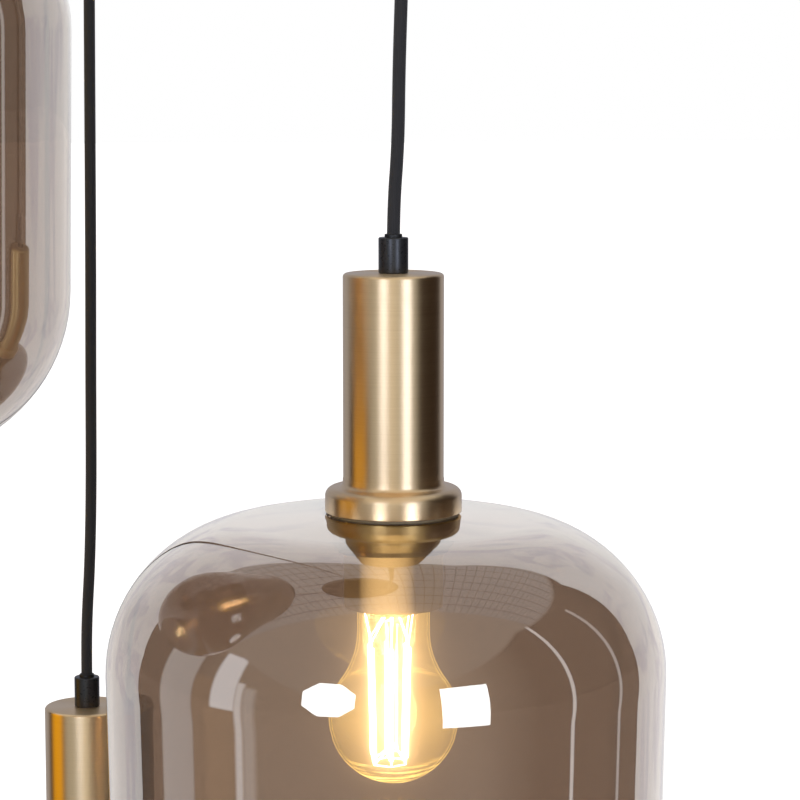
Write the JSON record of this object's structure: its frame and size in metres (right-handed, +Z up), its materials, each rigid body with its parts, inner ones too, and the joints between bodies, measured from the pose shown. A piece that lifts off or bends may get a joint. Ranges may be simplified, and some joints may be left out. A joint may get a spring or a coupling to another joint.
{
  "type": "cluster pendant light",
  "caption": "Ceiling light: smoke glass shades with bulbs hang at different heights from satin brass heads on black cords under a round black canopy.",
  "frame": {"origin": "middle of the canopy's mounting plane, where the bracket meets the ceiling", "axes": "+Z up into the ceiling, +X along the bracket, -Y towards a viewer in front"},
  "size_m": [0.5275, 0.4972, 1.6695],
  "materials": {
    "black_steel": "fine matt black powder coat",
    "zinc_steel": "zinc plated",
    "black_screw": "black",
    "earth_brass": "plain turned brass",
    "terminal_plastic": "moulded",
    "cord_sheath": "woven black cord",
    "black_metal": "satin black",
    "nylon": "moulded black nylon",
    "textile_cord": "woven black cord",
    "satin_brass": "satin, finely turned",
    "silicone": "clear grey silicone",
    "clamp_steel": "nickel plated",
    "smoke_glass": "clear smoke tint with a semi-mirror coat",
    "holder_plastic": "black moulded resin",
    "contact_brass": "plain brass",
    "cap_metal": "rolled thread",
    "clear_glass": "clear",
    "filament": "lit filament rods on a glass post"
  },
  "bodies": {
    "canopy": {"canopy_cover": "black_steel", "ceiling_bracket": "zinc_steel", "cover_screws": "black_screw", "earth_screw": "earth_brass", "terminal_block": "terminal_plastic", "canopy_leads": "cord_sheath", "outlet_grips": "black_metal", "outlet_nuts": "zinc_steel"},
    "outlet_a": {"outlet_bush_a": "nylon"},
    "cord_a": {"cord_a": "textile_cord"},
    "head_a": {"cord_gland_a": "black_metal", "cord_clamp_a": "nylon", "head_stem_a": "zinc_steel", "tube_nut_a": "zinc_steel", "head_tube_a": "satin_brass", "flange_a": "satin_brass", "sleeve_a": "satin_brass", "glass_seat_a": "silicone", "clamp_ring_a": "clamp_steel", "glass_shade_a": "smoke_glass", "lamp_holder_a": "holder_plastic", "holder_contacts_a": "contact_brass"},
    "bulb_a": {"bulb_cap_a": "cap_metal", "bulb_envelope_a": "clear_glass", "bulb_filaments_a": "filament"},
    "outlet_b": {"outlet_bush_b": "nylon"},
    "cord_b": {"cord_b": "textile_cord"},
    "head_b": {"cord_gland_b": "black_metal", "cord_clamp_b": "nylon", "head_stem_b": "zinc_steel", "tube_nut_b": "zinc_steel", "head_tube_b": "satin_brass", "flange_b": "satin_brass", "sleeve_b": "satin_brass", "glass_seat_b": "silicone", "clamp_ring_b": "clamp_steel", "glass_shade_b": "smoke_glass", "lamp_holder_b": "holder_plastic", "holder_contacts_b": "contact_brass"},
    "bulb_b": {"bulb_cap_b": "cap_metal", "bulb_envelope_b": "clear_glass", "bulb_filaments_b": "filament"},
    "outlet_c": {"outlet_bush_c": "nylon"},
    "cord_c": {"cord_c": "textile_cord"},
    "head_c": {"cord_gland_c": "black_metal", "cord_clamp_c": "nylon", "head_stem_c": "zinc_steel", "tube_nut_c": "zinc_steel", "head_tube_c": "satin_brass", "flange_c": "satin_brass", "sleeve_c": "satin_brass", "glass_seat_c": "silicone", "clamp_ring_c": "clamp_steel", "glass_shade_c": "smoke_glass", "lamp_holder_c": "holder_plastic", "holder_contacts_c": "contact_brass"},
    "bulb_c": {"bulb_cap_c": "cap_metal", "bulb_envelope_c": "clear_glass", "bulb_filaments_c": "filament"}
  },
  "joints": [
    {"name": "swing_front_a", "type": "hinge", "parent": "canopy", "child": "outlet_a", "pos_m": [0.13856, -0.08, -0.038], "axis": [1, 0, 0], "range_deg": [-2, 2]},
    {"name": "swing_side_a", "type": "hinge", "parent": "outlet_a", "child": "cord_a", "pos_m": [0.13856, -0.08, -0.038], "axis": [0, 1, 0], "range_deg": [-2, 2]},
    {"name": "head_twist_a", "type": "hinge", "parent": "cord_a", "child": "head_a", "pos_m": [0.13396, -0.08, -1.044], "axis": [0, 0, 1], "range_deg": [-60, 60]},
    {"name": "bulb_turn_a", "type": "hinge", "parent": "head_a", "child": "bulb_a", "pos_m": [0.13396, -0.08, -1.044], "axis": [0, 0, 1], "range_deg": [-360, 0]},
    {"name": "swing_front_b", "type": "hinge", "parent": "canopy", "child": "outlet_b", "pos_m": [0, 0.16, -0.038], "axis": [1, 0, 0], "range_deg": [-2, 2]},
    {"name": "swing_side_b", "type": "hinge", "parent": "outlet_b", "child": "cord_b", "pos_m": [0, 0.16, -0.038], "axis": [0, 1, 0], "range_deg": [-2, 2]},
    {"name": "head_twist_b", "type": "hinge", "parent": "cord_b", "child": "head_b", "pos_m": [-0.0078, 0.16, -1.2975], "axis": [0, 0, 1], "range_deg": [-60, 60]},
    {"name": "bulb_turn_b", "type": "hinge", "parent": "head_b", "child": "bulb_b", "pos_m": [-0.0078, 0.16, -1.2975], "axis": [0, 0, 1], "range_deg": [-360, 0]},
    {"name": "swing_front_c", "type": "hinge", "parent": "canopy", "child": "outlet_c", "pos_m": [-0.13856, -0.08, -0.038], "axis": [1, 0, 0], "range_deg": [-2, 2]},
    {"name": "swing_side_c", "type": "hinge", "parent": "outlet_c", "child": "cord_c", "pos_m": [-0.13856, -0.08, -0.038], "axis": [0, 1, 0], "range_deg": [-2, 2]},
    {"name": "head_twist_c", "type": "hinge", "parent": "cord_c", "child": "head_c", "pos_m": [-0.13626, -0.08, -0.752], "axis": [0, 0, 1], "range_deg": [-60, 60]},
    {"name": "bulb_turn_c", "type": "hinge", "parent": "head_c", "child": "bulb_c", "pos_m": [-0.13626, -0.08, -0.752], "axis": [0, 0, 1], "range_deg": [-360, 0]}
  ]
}
